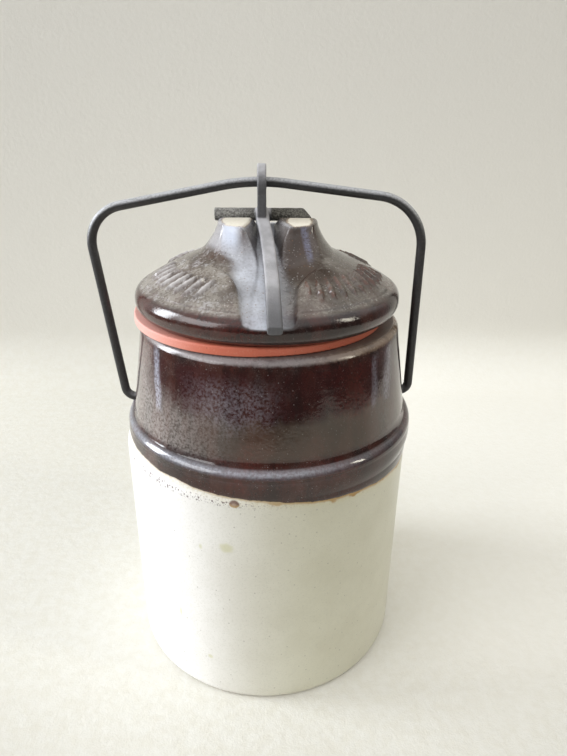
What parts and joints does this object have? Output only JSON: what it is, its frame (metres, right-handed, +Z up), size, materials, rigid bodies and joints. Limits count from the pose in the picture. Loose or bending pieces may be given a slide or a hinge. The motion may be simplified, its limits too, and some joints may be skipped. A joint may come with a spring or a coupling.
{
  "type": "stoneware preserving jar",
  "caption": "Straight-sided glazed stoneware jar with a tapering neck, a rubber ring, a domed lid and a wire bail whose cast lever clamps the lid.",
  "frame": {"origin": "centre of the jar's foot, on the surface it stands on", "axes": "+Z up, the lever's tip towards -Y, the bail's hinge along X"},
  "size_m": [0.1246, 0.114, 0.1954],
  "materials": {
    "glazed_stoneware": "pale glossy glaze below, brown glossy glaze on ridge and neck",
    "red_rubber": "matt brick-red rubber",
    "brown_glaze": "dark brown glossy glaze with dust and worn edges",
    "bail_wire": "dull blackened steel wire",
    "cast_lever": "grey cast iron, worn and dusty"
  },
  "bodies": {
    "jar": {"jar_body": "glazed_stoneware", "gasket": "red_rubber", "lid": "brown_glaze"},
    "bail": {"bail": "bail_wire"},
    "lever": {"lever": "cast_lever"}
  },
  "joints": [
    {"name": "bail_swing", "type": "hinge", "parent": "jar", "child": "bail", "pos_m": [0, 0, 0.10705], "axis": [-0.9998, 0, -0.0221], "range_deg": [0, 96]},
    {"name": "lever_lift", "type": "hinge", "parent": "bail", "child": "lever", "pos_m": [-0.0017, 0, 0.18916], "axis": [-1, 0, 0], "range_deg": [0, 160]}
  ],
  "couplings": [
    {"joint": "bail_swing", "follows": "lever_lift", "ratio": 0.6}
  ]
}
